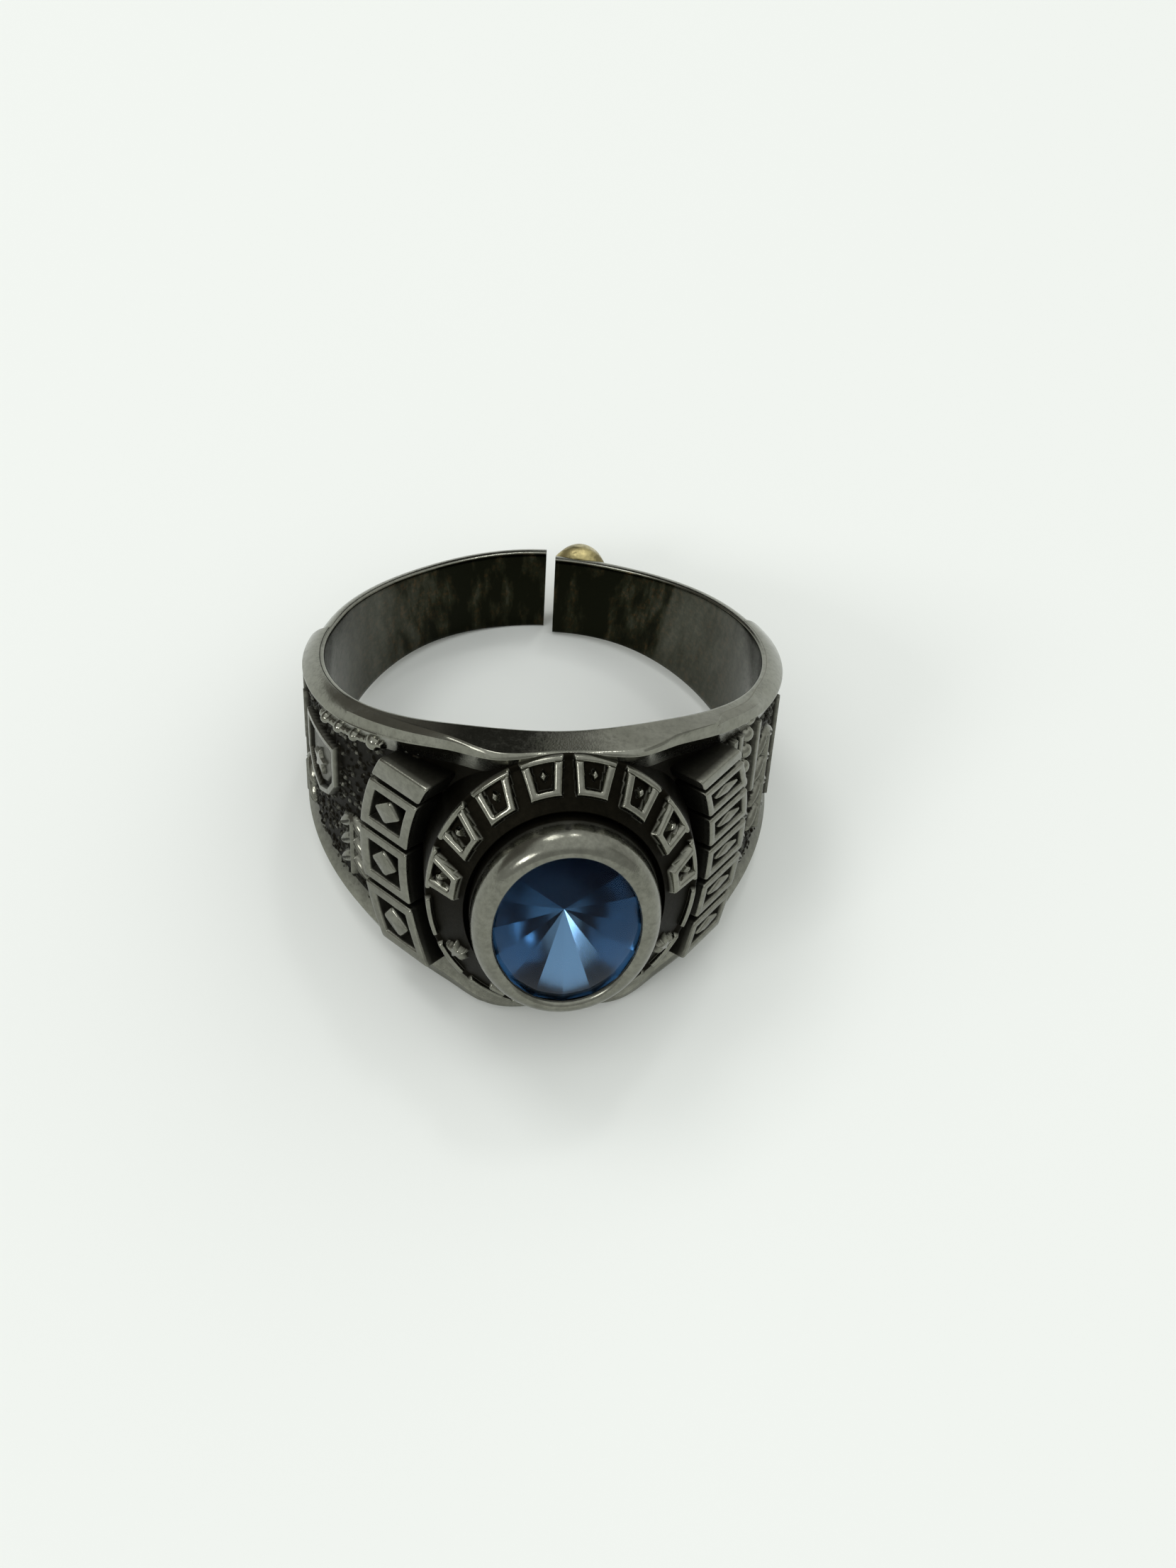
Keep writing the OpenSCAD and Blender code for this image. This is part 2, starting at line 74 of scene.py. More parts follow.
# Columns: angle from the head, growth of the width from band to head, rim fall and rim thickness as shares
ANGLE, GROWTH, FALL, RIM = range(4)
STATIONS = np.array([
    [0, 1.00, 0.10, 1.40],
    [14, 0.99, 0.50, 1.78],
    [26, 0.94, 0.95, 1.19],
    [40, 0.82, 1.15, 1.03],
    [60, 0.62, 1.10, 1.00],
    [90, 0.36, 0.90, 1.03],
    [120, 0.15, 0.90, 1.00],
    [150, 0.01, 0.90, 1.00],
    [180, 0.00, 0.90, 1.00],
])


def along_ring(angle, column):
    """A column of STATIONS at angles from the head, on a smooth curve that is flat at both ends."""
    away = 180 - np.abs(180 - np.abs(angle))
    x, y = STATIONS[:, ANGLE], STATIONS[:, column]
    slope = np.zeros(len(x))
    slope[1:-1] = (y[2:] - y[:-2]) / (x[2:] - x[:-2])
    i = np.clip(np.searchsorted(x, away, "right") - 1, 0, len(x) - 2)
    span = x[i + 1] - x[i]
    t = (away - x[i]) / span
    rise = y[i] * (1 - t) ** 2 * (1 + 2 * t) + y[i + 1] * t ** 2 * (3 - 2 * t)
    return rise + span * (slope[i] * t * (1 - t) ** 2 - slope[i + 1] * t ** 2 * (1 - t))


def half_width(angle):
    return (band_w + (head_w - band_w) * along_ring(angle, GROWTH)) / 2


def rim_drop(angle):
    return rim_fall * along_ring(angle, FALL)


def rim_r(angle):
    return finger_r + rim_t * along_ring(angle, RIM)


def smooth(low, high, value):
    """0 below low, 1 above high, and an even curve between them."""
    share = np.clip((value - low) / (high - low), 0, 1)
    return share * share * (3 - 2 * share)


def round_finger(angle, radius, along):
    """Points at angles in degrees from the head, as an array with X, Y and Z last."""
    turn = np.radians(angle)
    return np.stack([radius * np.sin(turn), -radius * np.cos(turn), along + 0 * turn], axis=-1)


def sprung(points, angle):
    """Bends the left arm out about a line on the finger hole, evenly over a few degrees of the hoop."""
    hinge = round_finger(np.array(hinge_angle), finger_r, 0)
    turn = np.radians(spring_angle) * smooth(-hinge_reach, hinge_reach, hinge_angle - angle)
    x, y = points[..., 0] - hinge[0], points[..., 1] - hinge[1]
    bent = points.copy()
    bent[..., 0] = hinge[0] + x * np.cos(turn) - y * np.sin(turn)
    bent[..., 1] = hinge[1] + x * np.sin(turn) + y * np.cos(turn)
    return bent


# The saw left two flat faces, so each arm's end depends on how far out it is measured.
cut_turn = math.radians(cut_angle)
cut_across = np.array([math.cos(cut_turn), -math.sin(cut_turn)])
spring_turn = math.radians(spring_angle)
hinge_point = round_finger(np.array(hinge_angle), finger_r, 0)[:2]
bent_middle = hinge_point - np.array([[math.cos(spring_turn), -math.sin(spring_turn)],
                                      [math.sin(spring_turn), math.cos(spring_turn)]]) @ hinge_point
bent_offset = cut_w / 2 + cut_across @ bent_middle


def right_end(radius):
    return 180 - cut_angle - np.degrees(np.arcsin(cut_w / 2 / radius))


def left_end(radius):
    return -180 - cut_angle + np.degrees(np.arcsin(bent_offset / radius)) - spring_angle


# Each cross-section is a loop: along the bore, over the upper rim, down the outside and over the lower rim.
bore_steps = 28
outer_steps = 14
panel_draft = 0.3
under_skin = 0.2
lapped_fall = 0.03
lapped_from, lapped_to = 54, 64
dome_power = 2.3
# What stands on the hoop is rooted in its wall at this radius.
root_r = finger_r + 0.3
# The bore's edge is worn round. Columns: the way out from the bore, and down from the rim
EDGE_ROUND = np.array([[0.00, 0.10], [0.02, 0.045], [0.055, 0.012], [0.12, 0.0]])
step_angles = np.concatenate([
    np.linspace(left_end(finger_r + band_t / 2), -panel_end - 0.2, 110),
    np.linspace(-panel_end + 0.1, panel_end - 0.1, 300),
    np.linspace(panel_end + 0.2, right_end(finger_r + band_t / 2), 90),
])
h = half_width(step_angles)[:, None]
drop = rim_drop(step_angles)[:, None]
outer = rim_r(step_angles)[:, None]
beside_panel = (np.abs(step_angles) <= panel_end)[:, None]

edge_r = finger_r + EDGE_ROUND[None, :, 0] + 0 * h
edge_z = h - EDGE_ROUND[None, :, 1]
# Beside the head the rim was lapped flat. The flat meets the bevel in a soft ridge, which runs out towards
# the bezel on the left, and stops short in a step on the right.
ridge = np.where(step_angles < 0, 0.1 + 0.8 * smooth(-56, -13, step_angles),
                 0.45 + 0.45 * smooth(42, 36, step_angles) - 0.33 * smooth(50, 64, step_angles))[:, None]
NEAR_RIDGE = [-0.09, -0.04, -0.015, 0.0, 0.015, 0.04, 0.09]
t = np.hstack([ridge * share for share in (0.12, 0.3, 0.5, 0.7)]
              + [np.clip(ridge + near, 0.02 + 0.9 * ridge, 0.98) for near in NEAR_RIDGE]
              + [ridge + (1 - ridge) * share for share in (0.3, 0.5, 0.7, 0.85, 0.95, 1.0)])
t = np.maximum.accumulate(t, axis=1)
bevel_steps = t.shape[1]
swell = rim_swell * np.minimum(1, drop / rim_fall)
bevel_r = finger_r + rim_flat + (outer - finger_r - rim_flat) * t
rolled_z = h - drop * t + 4 * swell * t * (1 - t)
past = np.clip((t - ridge) / (1 - ridge), 0, 1)
lapped_z = (h - lapped_fall * np.minimum(t / ridge, 1)
            - (drop - lapped_fall) * (0.3 * past + 0.7 * smooth(0.7, 1.0, past)))
lapped = smooth(lapped_to, lapped_from, np.abs(step_angles))[:, None]
bevel_z = rolled_z + (lapped_z - rolled_z) * lapped
# Between the rims the hoop goes down a drafted wall and runs on plain, under the shoulder's own skin.
t = np.linspace(0, 1, outer_steps)[None, :]
hidden_r = outer - panel_depth - under_skin
face_r = np.where(t < 0.15, outer, hidden_r + 0 * t)
face_z = np.where(t < 0.08, h - drop - 0.03,
                  np.where(t < 0.15, h - drop - rim_face - panel_draft, (h - drop - 0.6) * (1 - t)))
dome_turn = np.linspace(0, math.pi / 2, bevel_steps + outer_steps + 1)[None, 1:]
dome_r = finger_r + rim_flat + (band_t - rim_flat) * np.sin(dome_turn) ** (2 / dome_power)
dome_z = h * np.cos(dome_turn)
half_r = np.hstack([edge_r, np.where(beside_panel, np.hstack([bevel_r, face_r]), dome_r)])
half_z = np.hstack([edge_z, np.where(beside_panel, np.hstack([bevel_z, face_z]), dome_z)])
bore_z = (h - EDGE_ROUND[0, 1]) * np.linspace(-1, 1, bore_steps)[None, 1:-1]
loop_r = np.hstack([finger_r + 0 * bore_z, half_r, half_r[:, -2::-1]])
loop_z = np.hstack([bore_z, half_z, -half_z[:, -2::-1]])

# The last few sections close up to the saw's flat faces.
to_left = smooth(-170, -185, step_angles)[:, None]
to_right = smooth(160, 171, step_angles)[:, None]
loop_angle = (step_angles[:, None]
              + to_left * (left_end(loop_r) - step_angles[0])
              + to_right * (right_end(loop_r) - step_angles[-1]))
shank_points = sprung(round_finger(loop_angle, loop_r, loop_z), loop_angle)

# The bore is dull with wear and old antiquing. Soldering heat left a black-brown film inside the back,
# darkest beside the cut; its edge is sharp on the right and soft on the left.
in_bore = (loop_r < finger_r + 0.05) * 1.0
along_right = loop_angle + 1.2 * loop_z
film_right = 0.5 * smooth(50, 80, loop_angle) + 0.16 * smooth(80, 118, loop_angle)
film_right = film_right + 0.27 * smooth(136.5, 138.5, along_right) + 0.07 * smooth(149, 157, along_right)
film_left = 0.66 * smooth(-50, -90, loop_angle) + 0.21 * smooth(-130, -146, loop_angle)
film_left = film_left + 0.13 * smooth(-150, -163, loop_angle)
film = in_bore * np.where(loop_angle > 0, film_right, film_left)
in_panel = (loop_r > root_r) & beside_panel & (np.abs(loop_z) < h - drop - 0.05)
panel_wall_shade = np.where(in_panel, 0.25, 1.0)


def grid_faces(rows, columns, wrap_rows, wrap_columns):
    """Quads of a grid of points that lie row after row, closed on itself where a wrap is asked for."""
    i = np.arange(rows if wrap_rows else rows - 1)[:, None]
    j = np.arange(columns if wrap_columns else columns - 1)[None, :]
    down, right = (i + 1) % rows, (j + 1) % columns
    corners = [i * columns + j, down * columns + j, down * columns + right, i * columns + right]
    return np.stack([c + 0 * i + 0 * j for c in corners], axis=-1).reshape(-1, 4)


def metal_mesh(name, points, faces, shades, crease=None):
    """An object of the ring's points and quads, with its named shades at the points, laid on the table."""
    mesh = bpy.data.meshes.new(name)
    mesh.from_pydata(points.reshape(-1, 3).tolist(), [], [list(map(int, face)) for face in faces])
    for shade, values in shades.items():
        mesh.attributes.new(shade, "FLOAT", "POINT").data.foreach_set(
            "value", np.broadcast_to(values, points.shape[:-1]).astype(np.float32).ravel())
    mesh.transform(ring_to_row)
    shells = bmesh.new()
    shells.from_mesh(mesh)
    bmesh.ops.recalc_face_normals(shells, faces=shells.faces[:])
    shells.to_mesh(mesh)
    shells.free()
    mesh.shade_smooth()
    if crease:
        mesh.set_sharp_from_angle(angle=math.radians(crease))
    mesh.validate()
    piece = bpy.data.objects.new(name, mesh)
    bpy.context.scene.collection.objects.link(piece)
    return piece


rows, columns = loop_r.shape
shank_faces = grid_faces(rows, columns, False, True).tolist()
shank_faces.append(list(range(columns)))
shank_faces.append([(rows - 1) * columns + k for k in reversed(range(columns))])
shank = metal_mesh("shank", shank_points, shank_faces, {"polish": panel_wall_shade, "film": film}, crease=40)


def linear(hex_colour):
    """A colour written as sRGB hex, as the linear red, green, blue and alpha that a shader takes."""
    parts = [int(hex_colour[i:i + 2], 16) / 255 for i in (1, 3, 5)]
    return [c / 12.92 if c <= 0.04045 else ((c + 0.055) / 1.055) ** 2.4 for c in parts] + [1.0]


def add(tree, kind, settings=(), links=()):
    """A shader node with its settings and input values, linked from other nodes' outputs."""
    node = tree.nodes.new("ShaderNode" + kind)
    for key, value in dict(settings).items():
        if isinstance(key, int) or key in node.inputs:
            node.inputs[key].default_value = value
        else:
            setattr(node, key, value)
    for key, socket in dict(links).items():
        tree.links.new(socket, node.inputs[key])
    return node


def new_material(name):
    """A new material, and its node tree with nothing in it."""
    material = bpy.data.materials.new(name)
    material.use_nodes = True
    material.node_tree.nodes.clear()
    return material, material.node_tree


def mixed(tree, factor, first, second):
    """The colour that lies between two others, each a hex value or a socket, at a factor's share."""
    mix = add(tree, "Mix", {"data_type": "RGBA"}, {0: factor})
    for index, colour in ((6, first), (7, second)):
        if isinstance(colour, str):
            mix.inputs[index].default_value = linear(colour)
        else:
            tree.links.new(colour, mix.inputs[index])
    return mix.outputs[2]


# Cast white jewellery alloy, tumbled bright, dipped in antiquing black and rubbed back. The rubbed tops are a
# satin grey with a warm cast, and the recesses keep a near-black film that hardly shines.
antiqued_alloy, tree = new_material("antiqued_cast_alloy")
place = add(tree, "TexCoord").outputs["Object"]
in_mm = add(tree, "VectorMath", {"operation": "SCALE", "Scale": 1 / MM}, {0: place}).outputs[0]
polish = add(tree, "Attribute", {"attribute_name": "polish"}).outputs["Fac"]
film_here = add(tree, "Attribute", {"attribute_name": "film"}).outputs["Fac"]
# Widths in mm: clouds of wear, specks of film and the casting's grain
cloud_w, speck_w, grain_w = 1 / 0.7, 1 / 4, 1 / 14
clouds = add(tree, "TexNoise", {"Scale": 1 / cloud_w, "Detail": 5.0, "Roughness": 0.6},
             {"Vector": in_mm}).outputs["Fac"]
specks = add(tree, "TexNoise", {"Scale": 1 / speck_w, "Detail": 6.0, "Roughness": 0.7},
             {"Vector": in_mm}).outputs["Fac"]
grain = add(tree, "TexNoise", {"Scale": 1 / grain_w, "Detail": 3.0, "Roughness": 0.6},
            {"Vector": in_mm}).outputs["Fac"]

# Tops are rubbed unevenly: the film stays in patches a few tenths of a millimetre wide.
patchy = add(tree, "MapRange", {"From Min": 0.35, "From Max": 0.65, "To Min": 0.78, "To Max": 1.1},
             {"Value": specks}).outputs[0]
rubbed = add(tree, "Math", {"operation": "MULTIPLY", "use_clamp": True}, {0: polish, 1: patchy}).outputs[0]
bright = mixed(tree, clouds, "#8e8e84", "#6d6d63")
black = mixed(tree, specks, "#070806", "#221f18")
plain = mixed(tree, rubbed, black, bright)

# The heat film is brown-black, streaked along the finger, with rusty and greenish hints where it is thin.
# The streaks are about 0.6 mm wide and 3 mm long.
streak_w, streak_l = 1 / 1.6, 1 / 0.35
streak_at = add(tree, "VectorMath", {"operation": "MULTIPLY", 1: (1 / streak_w, 1 / streak_w, 1 / streak_l)},
                {0: in_mm}).outputs[0]
streaks = add(tree, "TexNoise", {"Scale": 1.0, "Detail": 4.0, "Roughness": 0.6},
              {"Vector": streak_at}).outputs["Fac"]
streaky = add(tree, "MapRange", {"From Min": 0.3, "From Max": 0.7, "To Min": -0.16, "To Max": 0.16},
              {"Value": streaks}).outputs[0]
streaked = add(tree, "Math", {"operation": "MULTIPLY_ADD"},
               {0: film_here, 1: streaky, 2: film_here}).outputs[0]
rust = add(tree, "MapRange", {"From Min": 0.5, "From Max": 0.75}, {"Value": specks}).outputs[0]
thin_film = mixed(tree, rust, "#292a1e", "#4a3822")
thick = add(tree, "MapRange", {"From Min": 0.86, "From Max": 1.0}, {"Value": streaked}).outputs[0]
film_colour = mixed(tree, thick, thin_film, "#16170f")
film_cover = add(tree, "MapRange", {"From Max": 0.9}, {"Value": streaked}).outputs[0]
coloured = mixed(tree, film_cover, plain, film_colour)

rough = add(tree, "MapRange", {"To Min": 0.6, "To Max": 0.1}, {"Value": rubbed}).outputs[0]
fine_wear = add(tree, "MapRange", {"From Min": 0.3, "From Max": 0.7, "To Min": -0.03, "To Max": 0.05},
                {"Value": grain}).outputs[0]
roughness = add(tree, "Math", {"operation": "ADD"}, {0: rough, 1: fine_wear}).outputs[0]
# Grain of the casting, about 0.07 mm across and a few thousandths of a millimetre deep
surface = add(tree, "Bump", {"Strength": 0.3, "Distance": 0.008 * MM}, {"Height": grain}).outputs[0]
metal = add(tree, "BsdfPrincipled", {"Metallic": 1.0},
            {"Base Color": coloured, "Roughness": roughness, "Normal": surface})
add(tree, "OutputMaterial", (), {"Surface": metal.outputs[0]})

shank.data.materials.append(antiqued_alloy)
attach(shank, "root")
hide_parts("casting")


# Left shoulder
# Relief cast in one with the hoop, between its rims: a column of flat tablets beside the head, a torch along
# the upper rim, a shield with a star, and laurel on a pebbled ground. The tops are rubbed bright.
def floor_r(angle):
    return rim_r(angle) - panel_depth


def panel_reach(angle):
    return half_width(angle) - rim_drop(angle) - rim_face - panel_draft


class Relief:
    """Height over a floor in mm, and how bright the rubbing left it, over a grid of places."""

    def __init__(self, shape):
        self.height = np.zeros(shape)
        self.polish = np.zeros(shape)

    def raise_to(self, inside, height, shine=1.0, edge=0.05, crown=0.0):
        """Adds a form where inside, the depth in mm from its edge, is over zero. A crown rounds it."""
        if crown:
            dome = np.sqrt(np.clip(1 - (1 - np.clip(inside / crown, 0, 1)) ** 2, 0, 1))
            rise = np.where(inside > 0, height * dome, 0)
        else:
            rise = height * smooth(-edge, 0.2 * edge, inside)
        above = rise > self.height
        worn = shine * smooth(-0.03, 0.02, inside)
        self.polish = np.where(above, worn, self.polish)
        self.height = np.where(above, rise, self.height)

    def cut_to(self, inside, height, shine=0.0, edge=0.04):
        """Sinks what stands higher than a height where inside is over zero."""
        share = smooth(-edge * 0.2, edge, inside)
        low = np.minimum(self.height, height)
        self.height = self.height + (low - self.height) * share
        self.polish = self.polish + (shine - self.polish) * smooth(-0.03, 0.02, inside)


def in_box(x, y, half_x, half_y):
    return np.minimum(half_x - np.abs(x), half_y - np.abs(y))


def in_line(x, y, start, end, half):
    """Depth inside a round-ended stroke from one point to another."""
    dx, dy = end[0] - start[0], end[1] - start[1]
    t = np.clip(((x - start[0]) * dx + (y - start[1]) * dy) / (dx * dx + dy * dy), 0, 1)
    return half - np.hypot(x - start[0] - t * dx, y - start[1] - t * dy)


def in_polygon(x, y, corners):
    """Depth inside a closed outline of straight sides, negative outside it."""
    nearest = np.full(np.shape(x), 1e9)
    inside = np.zeros(np.shape(x), bool)
    for (ax, ay), (bx, by) in zip(corners, corners[1:] + corners[:1]):
        nearest = np.minimum(nearest, -in_line(x, y, (ax, ay), (bx, by), 0))
        crosses = ((ay > y) != (by > y)) & (x < (bx - ax) * (y - ay) / (by - ay + 1e-12) + ax)
        inside ^= crosses
    return np.where(inside, nearest, -nearest)


def in_leaf(x, y, length, width):
    """Depth inside a pointed leaf that grows along +Y from the origin."""
    bow = (length ** 2 / 4 + width ** 2 / 4) / width
    return bow - np.hypot(np.abs(x) + bow - width / 2, y - length / 2)


def in_star(x, y, reach, waist=0.45):
    corners = []
    for i in range(10):
        r = reach * (1 if i % 2 == 0 else waist)
        corners.append((r * math.sin(math.radians(36 * i)), r * math.cos(math.radians(36 * i))))
    return in_polygon(x, y, corners)


def turned(x, y, degrees):
    """Places seen from a frame that is turned by an angle."""
    c, s = math.cos(math.radians(degrees)), math.sin(math.radians(degrees))
    return x * c + y * s, y * c - x * s


relief_h = 0.32
stroke = 0.26
tablet_facing = 48
tablet_out = finger_r + 1.5
tablet_w = 2.65
tablet_gap = 0.24
column_at = 0.05
column_bend = 2.5
column_reach = 0.7 * head_w / 2
tablet_root = 2.2
tablet_sunk = 0.55
tablet_corner, cap_corner, least_corner = 0.12, 0.14, 0.03
panel_from = 6
panel_columns = 340
panel_rows = 240
rim_slope_w = 0.3
rim_slope_polish = 0.12
star_reach = 0.6
pebble_sizes = 0.05, 0.12

away = np.linspace(panel_from, panel_end, panel_columns)[:, None]
across = np.linspace(-1, 1, panel_rows)[None, :]
wall_z = half_width(away) - rim_drop(away) - 0.02
panel_z = wall_z * across
from_rim = wall_z - np.abs(panel_z)
away_here = away + 0 * panel_z


def rounded_box(half_x, half_y, corner):
    """Outline points of a box with rounded corners, the same number for every size."""
    corners = []
    for quarter, (right_left, up_down) in enumerate(((1, 1), (-1, 1), (-1, -1), (1, -1))):
        a = np.radians(90 * quarter + np.linspace(0, 90, 5))
        corners.append(np.stack([right_left * (half_x - corner) + corner * np.cos(a),
                                 up_down * (half_y - corner) + corner * np.sin(a)], axis=-1))
    outline = []
    for here, after in zip(corners, corners[1:] + corners[:1]):
        outline.append(here)
        outline.append(here[-1] + (after[0] - here[-1]) * np.linspace(0, 1, 10)[1:-1, None])
    return np.concatenate(outline)


def lozenge(half_x, half_y, corner):
    """Outline points of a lozenge with a little rounding at its four points."""
    tips = np.array([(half_x, 0), (0, half_y), (-half_x, 0), (0, -half_y)])
    outline = []
    for before, tip, after in zip(np.roll(tips, 1, axis=0), tips, np.roll(tips, -1, axis=0)):
        start = tip + (before - tip) * corner / np.linalg.norm(before - tip)
        end = tip + (after - tip) * corner / np.linalg.norm(after - tip)
        outline += [start, (start + 2 * tip + end) / 4, end]
    return np.array(outline)


def standing(outlines, levels, middle, side):
    """A closed block in the tablets' plane: outlines one inside another, with a level's row for each."""
    _, depths, shines = np.array(levels).T
    around = np.array(outlines) + np.array(middle)
    depth = depths[:, None] + 0 * around[..., 0]
    top = around[-1].mean(axis=0)
    low = around[0].mean(axis=0)
    across_column = np.concatenate([around[..., 0].ravel(), [top[0], low[0]]])
    up_column = np.concatenate([around[..., 1].ravel(), [top[1], low[1]]])
    under = np.concatenate([depth.ravel(), [depths[-1], depths[0]]])
    headward = across_column + column_at + column_bend * (up_column / (head_w / 2)) ** 2
    face = np.radians(tablet_facing)
    points = np.stack([side * ((tablet_out - under) * np.sin(face) - headward * np.cos(face)),
                       -(tablet_out - under) * np.cos(face) - headward * np.sin(face), up_column], axis=-1)
    # The roots stay inside the hoop's wall.
    reach = np.hypot(points[:, 0], points[:, 1])[:, None]
    points[:, :2] *= np.maximum(1, root_r / reach)
    rows, columns = around.shape[:2]
    faces = grid_faces(rows, columns, False, True).tolist()
    for k in range(columns):
        faces.append([(rows - 1) * columns + k, (rows - 1) * columns + (k + 1) % columns, rows * columns])
        faces.append([(k + 1) % columns, k, rows * columns + 1])
    polish = np.concatenate([np.repeat(shines, columns), [shines[-1], shines[0]]])
    return points, faces, polish


# Worn edges of a block, of the sunk field in its frame and of the lozenge in that. Columns: how far in, how
# far below the plane, and how bright
EDGE = [(0.0, tablet_root, 0.0), (0.0, 0.35, 0.1), (0.0, 0.13, 0.6), (0.015, 0.06, 0.95), (0.05, 0.015, 1.0),
        (0.1, 0.0, 0.9)]
FIELD = [(-0.09, 0.0, 0.9), (-0.035, 0.012, 1.0), (0.0, 0.05, 0.8), (0.02, 0.14, 0.2),
         (0.06, tablet_sunk, 0.0)]
LOZENGE = [(0.0, tablet_sunk + 0.1, 0.0), (0.0, 0.12, 0.5), (0.03, 0.04, 1.0), (0.1, 0.0, 0.9)]
lozenge_taper = 1.4
lozenge_corner = 0.12


def boxes(half_x, half_y, corner, levels):
    """A rounded box for each level, as far in as the level says."""
    return [rounded_box(half_x - inset, half_y - inset, max(corner - inset, least_corner))
            for inset, _, _ in levels]


def tablets(count, border, cap_l, side):
    """A column of framed tablets with a lozenge in each, under a solid cap, all in one flat plane."""
    blocks = []
    cap_from = column_reach - cap_l
    pitch = (cap_from + column_reach) / count
    half_w = tablet_w / 2
    half_l = (pitch - tablet_gap) / 2
    half_lozenge_w, half_lozenge_l = half_w - border - stroke / 2, half_l - border - stroke / 2
    levels = EDGE + [(border + inset, depth, shine) for inset, depth, shine in FIELD]
    for i in range(count):
        middle = (half_w, pitch * i - column_reach + half_l)
        blocks.append(standing(boxes(half_w, half_l, tablet_corner, levels), levels, middle, side))
        lozenges = [lozenge(half_lozenge_w - inset * lozenge_taper, half_lozenge_l - inset * lozenge_taper,
                            lozenge_corner) for inset, _, _ in LOZENGE]
        blocks.append(standing(lozenges, LOZENGE, middle, side))
    cap_middle = (half_w, (cap_from + column_reach) / 2)
    blocks.append(standing(boxes(half_w, cap_l / 2, cap_corner, EDGE), EDGE, cap_middle, side))
    return blocks


def at_panel(angle, share):
    """Places on the panel seen from one of its points: mm towards the back, and mm up."""
    return (np.radians(away_here - angle) * floor_r(np.array(angle)),
            panel_z - share * panel_reach(np.array(angle)))


def rib(relief, angle, low, high):
    x, y = at_panel(angle, (low + high) / 2)
    relief.raise_to(in_box(x, y, stroke / 2, (high - low) / 2 * panel_reach(angle)), relief_h, 0.8)


def spray(relief, angle, start, end, pairs):
    """A stem with pairs of leaves, each leaf with a bright crown and a cut vein."""
    leaf_l, leaf_w, leaf_lean, vein_w = 1.45, 0.58, 50, 0.07
    for i in range(pairs):
        for side in (-1, 1):
            x, y = at_panel(angle, start + (end - start) * i / pairs)
            x, y = turned(x, y if end > start else -y, side * leaf_lean)
            inside = in_leaf(x, y + 0.15, leaf_l, leaf_w)
            relief.raise_to(inside, relief_h, 0.85, crown=leaf_w / 2)
            relief.cut_to(in_line(x, y, (0, 0.2), (0, leaf_l - 0.35), vein_w / 2), 0.6 * relief_h, 0.2)
    x, y = at_panel(angle, (start + end) / 2)
    relief.raise_to(in_box(x, y, stroke / 2, abs(end - start) / 2 * panel_reach(angle)), 1.1 * relief_h, 0.8,
                    crown=stroke / 2)


def pebbles(relief, count, seed, low, high):
    """Ground of small round grains between two angles from the head, as a matting punch leaves in the wax."""
    place = np.random.default_rng(seed)
    clear_of_rim = from_rim > rim_slope_w
    for _ in range(count):
        angle = place.uniform(low, high)
        share = place.uniform(-1, 1)
        size = place.uniform(*pebble_sizes)
        x, y = at_panel(angle, share)
        near = (np.abs(x) < size) & (np.abs(y) < size) & clear_of_rim
        inside = np.where(near, size - np.hypot(x, y), -1)
        relief.raise_to(inside, place.uniform(*pebble_sizes), place.uniform(0.0, 0.85) ** 3, crown=size)


def shoulder_points(relief, side):
    """The panel's skin, which climbs to the rims at its long edges and follows the relief elsewhere."""
    to_rim = smooth(rim_slope_w, 0.05, from_rim)
    ground = floor_r(away_here)
    radius = ground + np.maximum(relief.height, (rim_r(away_here) - 0.03 - ground) * to_rim)
    points = round_finger(side * away_here, radius, panel_z)
    return sprung(points, side * away_here), to_rim


def closed_panel(top):
    """The skin as a closed solid: its four edges go straight down to a plain back inside the wall."""
    rows, columns = top.shape[:2]
    faces = grid_faces(rows, columns, False, False).tolist()
    points = top.reshape(-1, 3)
    back = points.copy()
    back[:, :2] *= root_r / np.hypot(points[:, 0], points[:, 1])[:, None]
    low_edge, high_edge = np.arange(rows) * columns, np.arange(rows) * columns + columns - 1
    base = len(points)
    points = np.vstack([points, back[low_edge], back[high_edge]])
    for i in range(rows - 1):
        a, b = base + i, base + i + 1
        c, d = base + rows + i, base + rows + i + 1
        faces.append([int(low_edge[i + 1]), int(low_edge[i]), a, b])
        faces.append([int(high_edge[i]), int(high_edge[i + 1]), d, c])
        faces.append([b, a, c, d])
    faces.append([base + rows] + [int(k) for k in range(columns - 1, -1, -1)] + [base])
    faces.append([base + rows - 1] + [(rows - 1) * columns + k for k in range(columns)]
                 + [base + 2 * rows - 1])
    return points, faces


def shoulder(name, relief, blocks, side):
    """A shoulder's mesh, of its skin and the blocks that stand in it."""
    top, to_rim = shoulder_points(relief, side)
    points, faces = closed_panel(top)
    # Bare slopes up to the rims are rubbed a little.
    polish = np.maximum(relief.polish, rim_slope_polish * to_rim * (relief.height < 0.05))
    spare = len(points) - polish.size
    polish = np.concatenate([polish.ravel(), np.zeros(spare)])
    for block_points, block_faces, block_polish in blocks:
        faces += [[len(points) + k for k in face] for face in block_faces]
        points = np.vstack([points, block_points])
        polish = np.concatenate([polish, block_polish])
    return metal_mesh(name, points, faces, {"polish": polish, "film": 0.0})


left = Relief(panel_z.shape)
pebbles(left, count=1500, seed=3, low=34, high=panel_end)

